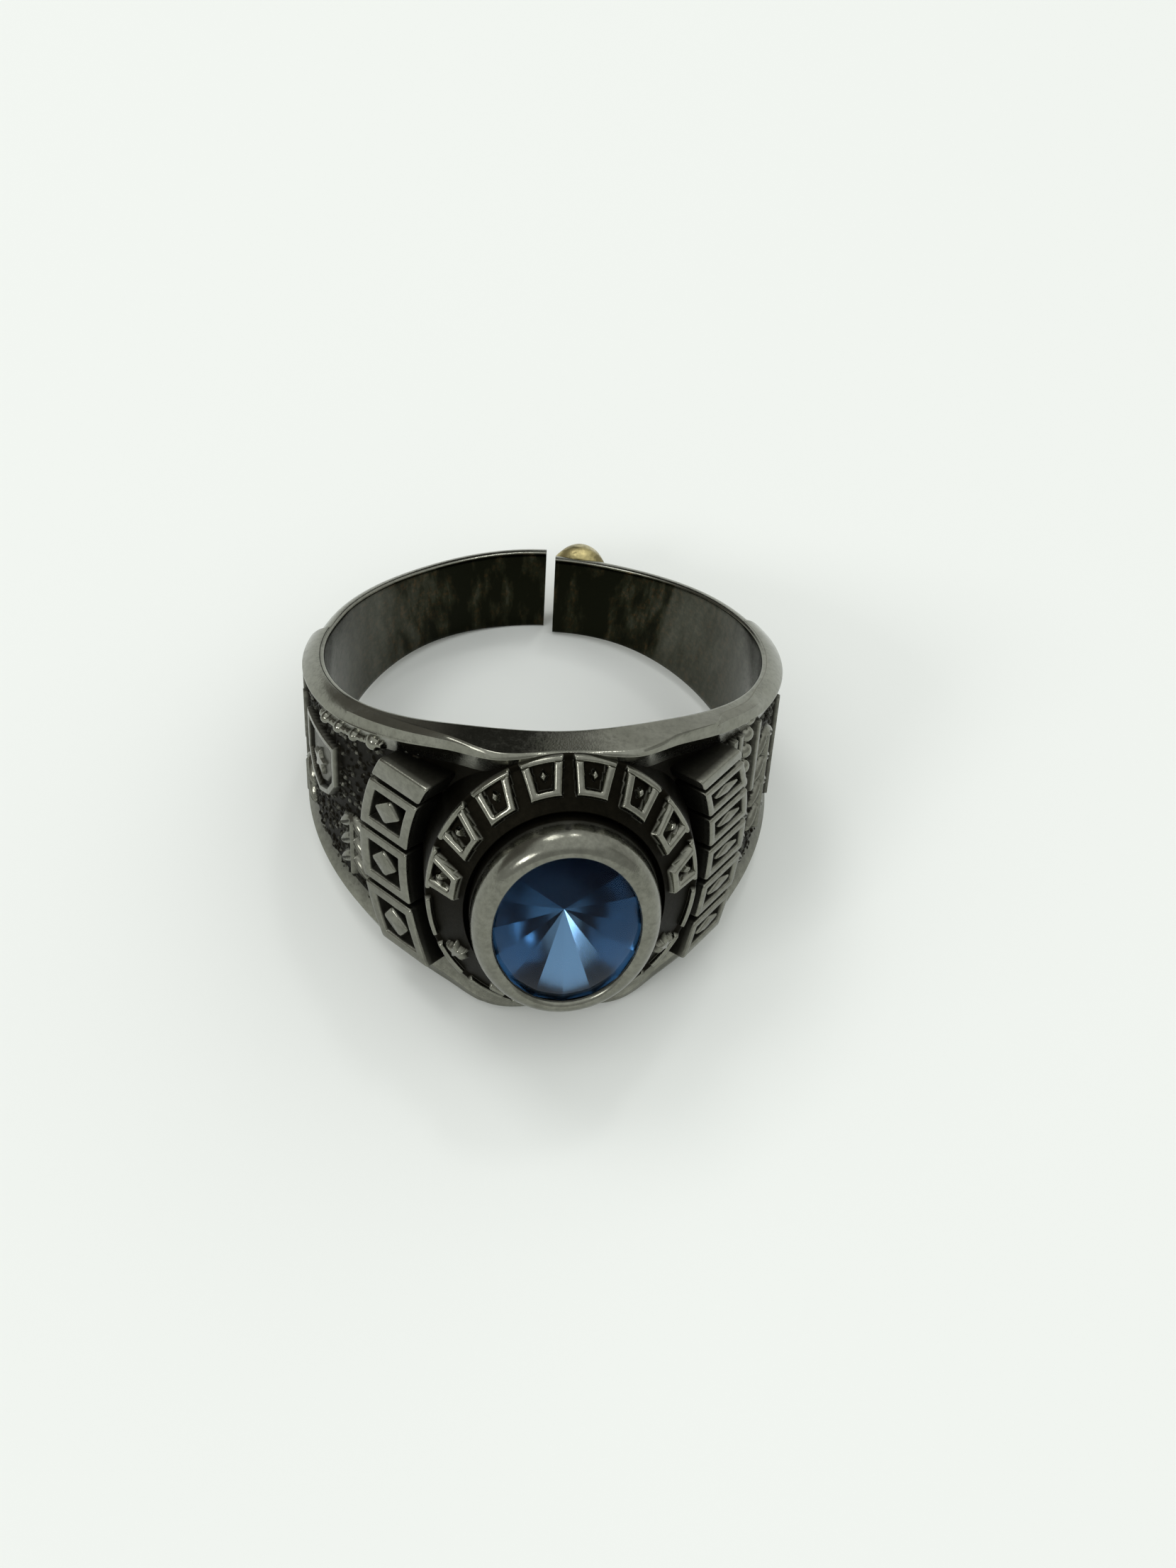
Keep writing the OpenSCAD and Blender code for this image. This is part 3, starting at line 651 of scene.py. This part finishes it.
# Torch along the upper rim: a staff in lengths between round knops, the largest at its head end
torch_from, torch_to, knops = 47, 66, 4
torch_under_rim = 1.15
rod_l, rod_w = 1.2, 1.3 * stroke
for i in range(knops):
    angle = torch_from + (torch_to - torch_from) * i / (knops - 1)
    x, y = at_panel(angle, (half_width(angle) - torch_under_rim) / panel_reach(angle))
    fall = half_width(angle - 1) - half_width(angle + 1)
    u, v = turned(x, y, -math.degrees(math.atan2(fall, math.radians(2) * floor_r(angle))))
    left.raise_to(in_box(u, v, rod_l / 2, rod_w / 2), 0.9 * relief_h, 1.0, crown=rod_w / 2)
    knop = 1.5 * stroke if i == 0 else 1.1 * stroke
    left.raise_to(knop - np.hypot(x, y), 1.3 * relief_h, 1.0, crown=knop)

# Shield with a raised border and a star
shield_angle, shield_share = 70, 0.25
shield_l = 0.9 * panel_reach(shield_angle)
shield_w = 0.9 * shield_l
SHIELD = [(1, 1), (1, -0.2), (0.62, -0.72), (0, -1), (-0.62, -0.72), (-1, -0.2), (-1, 1)]
x, y = at_panel(shield_angle, shield_share)
shield = in_polygon(x, y, [(shield_w / 2 * a, shield_l / 2 * b) for a, b in SHIELD])
left.raise_to(shield, relief_h, 0.9)
left.cut_to(shield - stroke, 0.35 * relief_h)
left.raise_to(shield - 2 * stroke, 0.55 * relief_h, 0.5)
left.raise_to(in_star(x, y, star_reach), relief_h, 0.95)

# Ribs and sprays: an angle from the head, and shares of the panel's reach that they stand between
for angle, low, high in ((86, 0.0, 0.8), (93, -0.8, 0.87)):
    rib(left, angle, low, high)
for angle, start, end, pairs in ((55, -0.1, -0.8, 3), (86, -0.4, -1.0, 2)):
    spray(left, angle, start, end, pairs)

left_shoulder = shoulder("left_shoulder", left, tablets(3, border=1.8 * stroke, cap_l=1.05, side=-1), -1)
left_shoulder.data.materials.append(antiqued_alloy)
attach(left_shoulder, "root")
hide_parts("casting")

# Right shoulder
# Cast like the left one, with five narrower framed tablets, upright ribs with a row of beads between them,
# and laurel sprays towards the back.
right = Relief(panel_z.shape)
pebbles(right, count=1400, seed=5, low=40, high=panel_end)
pearls, pearl_r = 6, 0.37
for i in range(pearls):
    x, y = at_panel(51, 0.14 + 0.95 * i / (pearls - 1))
    right.raise_to(pearl_r - np.hypot(x, y), pearl_r, 0.95, crown=pearl_r)
for angle, low, high in ((44.5, 0.13, 0.93), (47, 0.13, 0.96), (55.5, 0.14, 1.0), (78, -0.79, 0.79)):
    rib(right, angle, low, high)
for angle, start, end, pairs in ((51, -0.05, -0.86, 3), (64, 0.68, -0.68, 4), (90, 0.77, -0.77, 3)):
    spray(right, angle, start, end, pairs)

right_shoulder = shoulder("right_shoulder", right, tablets(5, border=1.3 * stroke, cap_l=0.6, side=1), 1)
right_shoulder.data.materials.append(antiqued_alloy)
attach(right_shoulder, "root")
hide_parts("casting")

# Bezel
# The oval plate of the head, cast with the hoop: an upright wall, a raised edge in arcs, and a slope up to
# the collar. An arcade stands over the slope's upper half, with two stars and four dashes below.
half_bezel_w = 5.3
half_bezel_l = head_w / 2 - 0.06
edge_y = finger_r + 1.35
slope_rise = 1.15
foot_y = edge_y + slope_rise
opening_w, opening_l = 2.82, 3.82
collar_t = 0.84
collar_w, collar_l = opening_w + collar_t, opening_l + collar_t
foot_w, foot_l = collar_w + 0.22, collar_l + 0.22
groove_depth = 0.3
bezel_turns = 840
slope_rows = 44

turn = np.linspace(0, 360, bezel_turns, endpoint=False)[None, :]
# Profile from the hidden root of the wall over the edge, up the slope, into the groove and down to the root
wall_y = [0.0, edge_y - 0.9, edge_y - 0.45, edge_y - 0.2, edge_y - 0.07]
edge_w = stroke
slope_share = np.linspace(0, 1, slope_rows)
groove = [(foot_w, foot_y - 0.03), (foot_w - 0.01, foot_y - 0.12), (foot_w - 0.03, foot_y - groove_depth),
          (collar_w - 0.25, foot_y - groove_depth - 0.02), (collar_w - 0.6, foot_y - 1.0),
          (collar_w - 0.6, 0.0)]
level_w = [half_bezel_w] * len(wall_y)
level_y = list(wall_y)
# Columns: how far in from the wall, and how far up from the edge
LIP = [(0.01, -0.04), (0.03, -0.01), (0.07, 0.0), (0.12, 0.0), (0.17, 0.0), (0.21, 0.0), (0.25, 0.0)]
for into, up in LIP:
    level_w.append(half_bezel_w - into)
    level_y.append(edge_y + up)
first_slope_row = len(level_w)
for share in slope_share:
    level_w.append(half_bezel_w - edge_w + (foot_w - half_bezel_w + edge_w) * share)
    level_y.append(edge_y + slope_rise * share)
for w, y in groove:
    level_w.append(w)
    level_y.append(y)
level_w, level_y = np.array(level_w)[:, None], np.array(level_y)[:, None]
# The long half-axis follows the short one, from the edge oval to the foot oval.
inward = (half_bezel_w - edge_w - level_w) / (half_bezel_w - edge_w - foot_w)
level_l = half_bezel_l - edge_w + (foot_l - half_bezel_l + edge_w) * inward
level_l = np.where(level_w > half_bezel_w - edge_w, half_bezel_l - (half_bezel_w - level_w), level_l)
level_l = np.where(level_w < foot_w, foot_l - (foot_w - level_w), level_l)
slope_here = np.arange(len(level_w))[:, None]
on_slope = (slope_here >= first_slope_row) & (slope_here < first_slope_row + slope_rows)


def oval(half_w, half_l, turn, height):
    """Points of a level oval on the head, which faces -Y."""
    a = np.radians(turn)
    return np.stack([half_w * np.cos(a), -height + 0 * a * half_w, half_l * np.sin(a)], axis=-1)


bezel_base = oval(level_w, level_l, turn, level_y)
# The root follows the hoop, just inside its wall.
bezel_root_r = finger_r + 0.25
for row in (0, -1):
    bezel_base[row, :, 1] = -np.sqrt(bezel_root_r ** 2 - bezel_base[row, :, 0] ** 2)
across_step = np.roll(bezel_base, -1, axis=1) - np.roll(bezel_base, 1, axis=1)
up_step = np.gradient(bezel_base, axis=0)
normal = np.cross(across_step, up_step)
normal /= np.linalg.norm(normal, axis=-1, keepdims=True)

# Places on the slope: mm along the middle oval from the +X side, and mm up the slope from its middle
middle_row = first_slope_row + slope_rows // 2
middle_oval = bezel_base[middle_row]
step_l = np.linalg.norm(np.roll(middle_oval, -1, axis=0) - middle_oval, axis=1)
along_oval = np.concatenate([[0], np.cumsum(step_l)])
oval_l = along_oval[-1]
along_here = along_oval[None, :-1] + 0 * level_w
slope_way = bezel_base[first_slope_row + slope_rows - 1] - bezel_base[first_slope_row]
slope_l = np.linalg.norm(slope_way, axis=-1)[None, :]
share_up = (slope_here - first_slope_row) / (slope_rows - 1)
off_slope = 99.0
up_here = np.where(on_slope, (share_up - 0.5) * slope_l, off_slope)


def at_bezel(degrees):
    """Places on the slope seen from one turn of its middle oval: mm along it, and mm up."""
    start = np.interp(degrees % 360, turn[0], along_oval[:-1])
    x = (along_here - start + oval_l / 2) % oval_l - oval_l / 2
    return x, up_here


bezel_relief = Relief(bezel_base.shape[:2])
# Eight arches, each two uprights that lean in from the edge to a bar, with a lozenge between them. Their
# heights are from the slope's edge.
arch_count = 8
arch_w = 1.47
arch_foot = -0.03
arch_top = 1.37
arch_lean = 0.86
arch_stroke = 0.37
foot_half, top_half = arch_w / 2, arch_w / 2 * arch_lean
bar_low = arch_top - arch_stroke
ARCH = [(-foot_half, arch_foot), (arch_stroke - foot_half, arch_foot), (arch_stroke - top_half, bar_low),
        (top_half - arch_stroke, bar_low), (foot_half - arch_stroke, arch_foot), (foot_half, arch_foot),
        (top_half, arch_top), (-top_half, arch_top)]
seed_w, seed_l = 0.6 * (top_half - arch_stroke), (bar_low - arch_foot) / 4
for i in range(arch_count):
    x, y = at_bezel(180 * (i + 0.5) / arch_count)
    y = y + slope_l / 2
    bezel_relief.raise_to(in_polygon(x, y, ARCH), relief_h, 1.0, crown=0.15)
    y = y - (arch_foot + bar_low) / 2
    seed = (1 - np.abs(x) / seed_w - np.abs(y) / seed_l) / math.hypot(1 / seed_w, 1 / seed_l)
    bezel_relief.raise_to(seed, relief_h, 1.0, crown=0.12)
dash_l = 0.82
for degrees in (-27, 207):
    x, y = at_bezel(degrees)
    bezel_relief.raise_to(in_star(x, y, star_reach), relief_h, 0.95, crown=0.1)
for degrees in (238, 259, 281, 302):
    x, y = at_bezel(degrees)
    bezel_relief.raise_to(in_box(x, y, dash_l / 2, stroke / 2), relief_h, 0.9, crown=stroke / 2)

# The edge is raised in sixteen arcs with a nick between them.
edge_count = 16
arc_share = 0.8
lip_h = 0.2
nick = (arc_share / 2 - np.abs((turn / 360 * edge_count) % 1 - 0.5)) * oval_l / edge_count
lip_row = (slope_here - len(wall_y) + 0.5) / len(LIP)
lip_round = np.sqrt(np.clip(1 - (2 * lip_row - 1) ** 2, 0, 1))
lip = lip_round * smooth(-0.03, 0.05, nick)
bezel_points = bezel_base + normal * bezel_relief.height[..., None]
bezel_points[..., 1] -= lip_h * lip
bezel_polish = np.maximum(bezel_relief.polish, smooth(0.05, 0.4, lip))
bezel_faces = grid_faces(*bezel_points.shape[:2], True, True)
bezel = metal_mesh("bezel", bezel_points, bezel_faces[:, ::-1], {"polish": bezel_polish, "film": 0.0})
bezel.data.materials.append(antiqued_alloy)
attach(bezel, "root")
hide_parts("casting")

# Collar
# A smooth rolled wall that stands on the bezel and laps over the stone's edge. Handling keeps it the
# brightest part of the head.
collar_y = foot_y + 1.5
roll_h = 0.8
lip_under = 12.81
crest = 0.62
profile = [(0.0, foot_y - 0.45), (0.0, foot_y - 0.1), (0.0, foot_y + 0.2), (0.0, foot_y + 0.45)]
for degrees in np.linspace(0, 90, 20):
    a = math.radians(degrees)
    profile.append((crest * (1 - math.cos(a)), collar_y - roll_h * (1 - math.sin(a))))
for degrees in np.linspace(12, 90, 8):
    a = math.radians(degrees)
    profile.append((crest + (collar_t - crest) * math.sin(a), collar_y - 0.2 * (1 - math.cos(a))))
# Inside, the lip's under face leads down past the stone's edge to a plain wall.
profile += [(collar_t, lip_under), (collar_t - 0.1, lip_under - 0.06), (collar_t - 0.23, 12.5),
            (0.35, 12.0), (0.3, foot_y - 0.45)]
into, height = np.array(profile).T[:, :, None]
turn = np.linspace(0, 360, 288, endpoint=False)[None, :]
collar_points = oval(collar_w - into, collar_l - into, turn, height)
above_groove = smooth(foot_y - 0.1, foot_y + 0.5, height)
off_stone = smooth(collar_y - 0.24, collar_y - 0.1, height + (into < 0.7))
collar_polish = 0.9 * (above_groove * off_stone) + 0 * turn
collar = metal_mesh("collar", collar_points, grid_faces(*collar_points.shape[:2], True, True)[:, ::-1],
                    {"polish": collar_polish, "film": 0.0})
collar.data.materials.append(antiqued_alloy)
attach(collar, "root")
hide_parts("casting")

# Solder bead
# A drop of yellow solder that ran together on the outside of the band, beside the saw cut.
bead_w, bead_l = 2.7, 3.6
bead_angle = 165.47
bead_middle_r = 9.95
bead_up = 0.4
tall = np.radians(np.linspace(-87, 87, 48))[:, None]
round_bead = np.radians(np.linspace(0, 360, 72, endpoint=False))[None, :]
# The drop is a little lopsided, and wets out where it meets the band.
lopsided = 1 + 0.03 * np.sin(2 * round_bead + 0.6) * np.cos(tall) + 0.02 * np.sin(3 * tall + round_bead)
outward = bead_w / 2 * np.cos(tall) * np.cos(round_bead) * lopsided
wetted = 1 + 0.12 * smooth(0.35, -0.15, outward)
sideways = bead_w / 2 * np.cos(tall) * np.sin(round_bead) * lopsided * wetted
upward = bead_up + bead_l / 2 * np.sin(tall) * (1 + 0.04 * smooth(0.35, -0.15, outward)) + 0 * round_bead
way_out = round_finger(np.array(bead_angle), 1.0, 0.0)
way_on = round_finger(np.array(bead_angle + 90), 1.0, 0.0)
bead_points = (bead_middle_r + outward)[..., None] * way_out + sideways[..., None] * way_on
bead_points[..., 2] = upward
# Its back is fused into the band, and its edge was sawn off in line with the cut.
reach = np.hypot(bead_points[..., 0], bead_points[..., 1])
bead_points[..., :2] *= np.maximum(1, root_r / reach)[..., None]
past_cut = cut_w / 2 - bead_points[..., :2] @ cut_across
bead_points[..., :2] += np.clip(past_cut, 0, None)[..., None] * cut_across
rows, columns = bead_points.shape[:2]
bead_faces = grid_faces(rows, columns, False, True).tolist()
bead_faces += [list(range(columns)), [(rows - 1) * columns + k for k in reversed(range(columns))]]
bead = metal_mesh("solder_bead", bead_points, bead_faces, {"film": 0.0}, crease=50)

# Brass-coloured solder, left as it froze and since dulled: yellow-grey, with an olive-brown bloom
yellow_solder, tree = new_material("dulled_yellow_solder")
place = add(tree, "TexCoord").outputs["Object"]
in_mm = add(tree, "VectorMath", {"operation": "SCALE", "Scale": 1 / MM}, {0: place}).outputs[0]
bloom_w = 1 / 1.6
bloom = add(tree, "TexNoise", {"Scale": 1 / bloom_w, "Detail": 6.0, "Roughness": 0.65},
            {"Vector": in_mm}).outputs["Fac"]
bloom_edge = add(tree, "MapRange", {"From Min": 0.42, "From Max": 0.62}, {"Value": bloom}).outputs[0]
colour = mixed(tree, bloom_edge, "#b5a878", "#7b7250")
dull = add(tree, "MapRange", {"To Min": 0.28, "To Max": 0.5}, {"Value": bloom_edge}).outputs[0]
ripple = add(tree, "Bump", {"Strength": 0.4, "Distance": 0.05 * MM}, {"Height": bloom}).outputs[0]
metal = add(tree, "BsdfPrincipled", {"Metallic": 1.0},
            {"Base Color": colour, "Roughness": dull, "Normal": ripple})
add(tree, "OutputMaterial", (), {"Surface": metal.outputs[0]})
bead.data.materials.append(yellow_solder)
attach(bead, "root")
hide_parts("casting")

# Stone
# Blue glass, cut as an oval with a low polished dome over a pavilion of sixteen flat facets that meet in a
# point. The facets have a mirror coat behind them, as the collar lets in no light from below.
stone_w, stone_l = 3.0, 4.0
facets = 16
girdle_y = 12.63
girdle_low_y = 12.51
culet_y = 10.51
dome_y = 13.12
sides = facets * 12
turn = np.linspace(0, 360, sides, endpoint=False)[None, :]
# The girdle is a polygon with a side for each facet; the dome grows round towards its middle.
off_side = np.radians(((turn * facets / 360) % 1 - 0.5) * 360 / facets)
polygon = math.cos(math.pi / facets) / np.cos(off_side)
levels = [(1.0, girdle_low_y), (1.0, girdle_y)]
for share in np.linspace(0.05, 0.98, 26):
    levels.append((1 - share, girdle_y + (dome_y - girdle_y) * (1 - (1 - share) ** 2.2) ** 0.8))
size, level = np.array(levels).T[:, :, None]
roundness = np.clip((1 - size) * 6, 0, 1)
shape = size * (polygon * (1 - roundness) + roundness)
dome_points = oval(stone_w * shape, stone_l * shape, turn, level)
top_point = dome_points.shape[0] * sides
culet = top_point + 1
stone_points = np.vstack([dome_points.reshape(-1, 3), [[0, -dome_y, 0], [0, -culet_y, 0]]])
stone_faces = grid_faces(*dome_points.shape[:2], False, True).tolist()
for k in range(sides):
    stone_faces.append([top_point, top_point - sides + k, top_point - sides + (k + 1) % sides])
per_facet = sides // facets
for k in range(facets):
    stone_faces.append([culet] + [(k * per_facet + m) % sides for m in range(per_facet + 1)])
cut_stone = metal_mesh("blue_glass", stone_points, stone_faces, {}, crease=6)
cut_stone.data.attributes.new("coat", "FLOAT", "FACE").data.foreach_set(
    "value", [1.0 if culet in face.vertices else 0.0 for face in cut_stone.data.polygons])

# Painted shade: behind the facets at the stone's upper end the mirror coat is painted dark, and less dark
# beside them, for the shade that fills the upper end of the stone.
NO_SHADE, HALF_SHADE, FULL_SHADE = 1.0, 0.55, 0.08
full_shade_within, half_shade_within = 40, 60
facet_shade = []
for k in range(facets):
    from_top = abs((k + 0.5) * 360 / facets - 90)
    facet_shade.append(FULL_SHADE if from_top < full_shade_within else HALF_SHADE if from_top < half_shade_within else NO_SHADE)
cut_stone.data.attributes.new("foil_shade", "FLOAT", "FACE").data.foreach_set(
    "value", [NO_SHADE] * (len(cut_stone.data.polygons) - facets) + facet_shade)

blue_glass, tree = new_material("coated_blue_glass")
coat = add(tree, "Attribute", {"attribute_name": "coat"}).outputs["Fac"]
clear = add(tree, "BsdfPrincipled", {"Base Color": linear("#cfe0f5"), "Roughness": 0.0, "IOR": 1.5,
                                     "Transmission Weight": 1.0, "Specular Tint": linear("#14346e")})
foil_shade = add(tree, "Attribute", {"attribute_name": "foil_shade"}).outputs["Fac"]
# The facets' mirror colour, darkened on the upper facets by the painted shade.
shaded_foil_colour = mixed(tree, foil_shade, "#08131f", "#7493aa")
mirror = add(tree, "BsdfPrincipled", {"Metallic": 1.0, "Roughness": 0.14}, {"Base Color": shaded_foil_colour})
backed_glass = add(tree, "MixShader", (), {0: coat, 1: clear.outputs[0], 2: mirror.outputs[0]})
add(tree, "OutputMaterial", (), {"Surface": backed_glass.outputs[0]})
cut_stone.data.materials.append(blue_glass)
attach(cut_stone, "root")
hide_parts("stone")

# Table, light and camera
# A sheet of plain white paper under soft room light. The camera stands where the photo was taken from.
table_size = 6
bpy.ops.mesh.primitive_plane_add(size=table_size)
table = bpy.context.object
table.name = "table"
paper, tree = new_material("white_paper")
sheet = add(tree, "BsdfPrincipled",
            {"Base Color": linear("#f1f3f0"), "Roughness": 0.9, "Specular IOR Level": 0.2})
add(tree, "OutputMaterial", (), {"Surface": sheet.outputs[0]})
table.data.materials.append(paper)

# A room with a pale ceiling over walls, darkest straight behind the ring, as its metal mirrors them
world = bpy.data.worlds.new("room")
bpy.context.scene.world = world
world.use_nodes = True
tree = world.node_tree
tree.nodes.clear()
direction = add(tree, "TexCoord").outputs["Generated"]
ways = add(tree, "SeparateXYZ", (), {0: direction}).outputs
aside = add(tree, "Math", {"operation": "DIVIDE"}, {0: ways["X"], 1: ways["Y"]}).outputs[0]
# Soft borders between the walls, each over a range of a direction: right, left, front and ceiling
borders = []
for way, low, high in ((aside, 0.1, 0.14), (aside, -0.15, -0.35), (ways["Y"], 0.3, -0.3),
                       (ways["Z"], 0.5, 0.85)):
    borders.append(add(tree, "MapRange",
                       {"From Min": low, "From Max": high, "interpolation_type": "SMOOTHSTEP"},
                       {"Value": way}).outputs[0])
to_right, to_left, to_front, to_ceiling = borders
back_wall = mixed(tree, to_right, "#3a3a38", "#dcdedb")
back_wall = mixed(tree, to_left, back_wall, "#7c7a75")
walls = mixed(tree, to_front, back_wall, "#bcbebb")
room_colour = mixed(tree, to_ceiling, walls, "#f4f7f5")
room = add(tree, "Background", {"Strength": 1.1}, {"Color": room_colour})
add(tree, "OutputWorld", (), {"Surface": room.outputs[0]})


def soft_light(name, place, size, power):
    """A square lamp that faces the ring, at a place in metres."""
    data = bpy.data.lights.new(name, "AREA")
    data.size = size
    data.energy = power
    lamp = bpy.data.objects.new(name, data)
    lamp.location = place
    lamp.rotation_euler = Vector(place).to_track_quat("Z", "Y").to_euler()
    bpy.context.scene.collection.objects.link(lamp)


soft_light("ceiling_left", (-0.30, 0.45, 0.85), 0.3, 1.2)
soft_light("ceiling_right", (0.16, 0.47, 0.85), 0.09, 0.5)
soft_light("window_left", (-0.62, -0.46, 0.47), 0.24, 1.5)

# The photo's view: eye point in the ring's own millimetres, and the directions of its right and up
eye = Vector((-7.19, -67.90, 54.88))
right_way = Vector((0.99421, -0.09607, 0.04819))
up_way = Vector((0.02613, 0.65098, 0.75864))
photo_h = 2212
focal_px = 2900
camera_data = bpy.data.cameras.new("camera")
camera = bpy.data.objects.new("camera", camera_data)
bpy.context.scene.collection.objects.link(camera)
turn_to_row = Matrix.Rotation(-lean, 3, "X")
across_view, up_view = turn_to_row @ right_way, turn_to_row @ up_way
back_view = across_view.cross(up_view)
view_axes = Matrix((across_view, up_view, back_view)).transposed().to_4x4()
camera.matrix_world = Matrix.Translation(ring_to_row @ eye) @ view_axes
sensor_mm = 36
camera_data.sensor_width = sensor_mm
camera_data.lens = sensor_mm * focal_px / photo_h
camera_data.clip_start = 0.001
camera_data.clip_end = 10
bpy.context.scene.camera = camera
bpy.context.scene.view_settings.view_transform = "Standard"
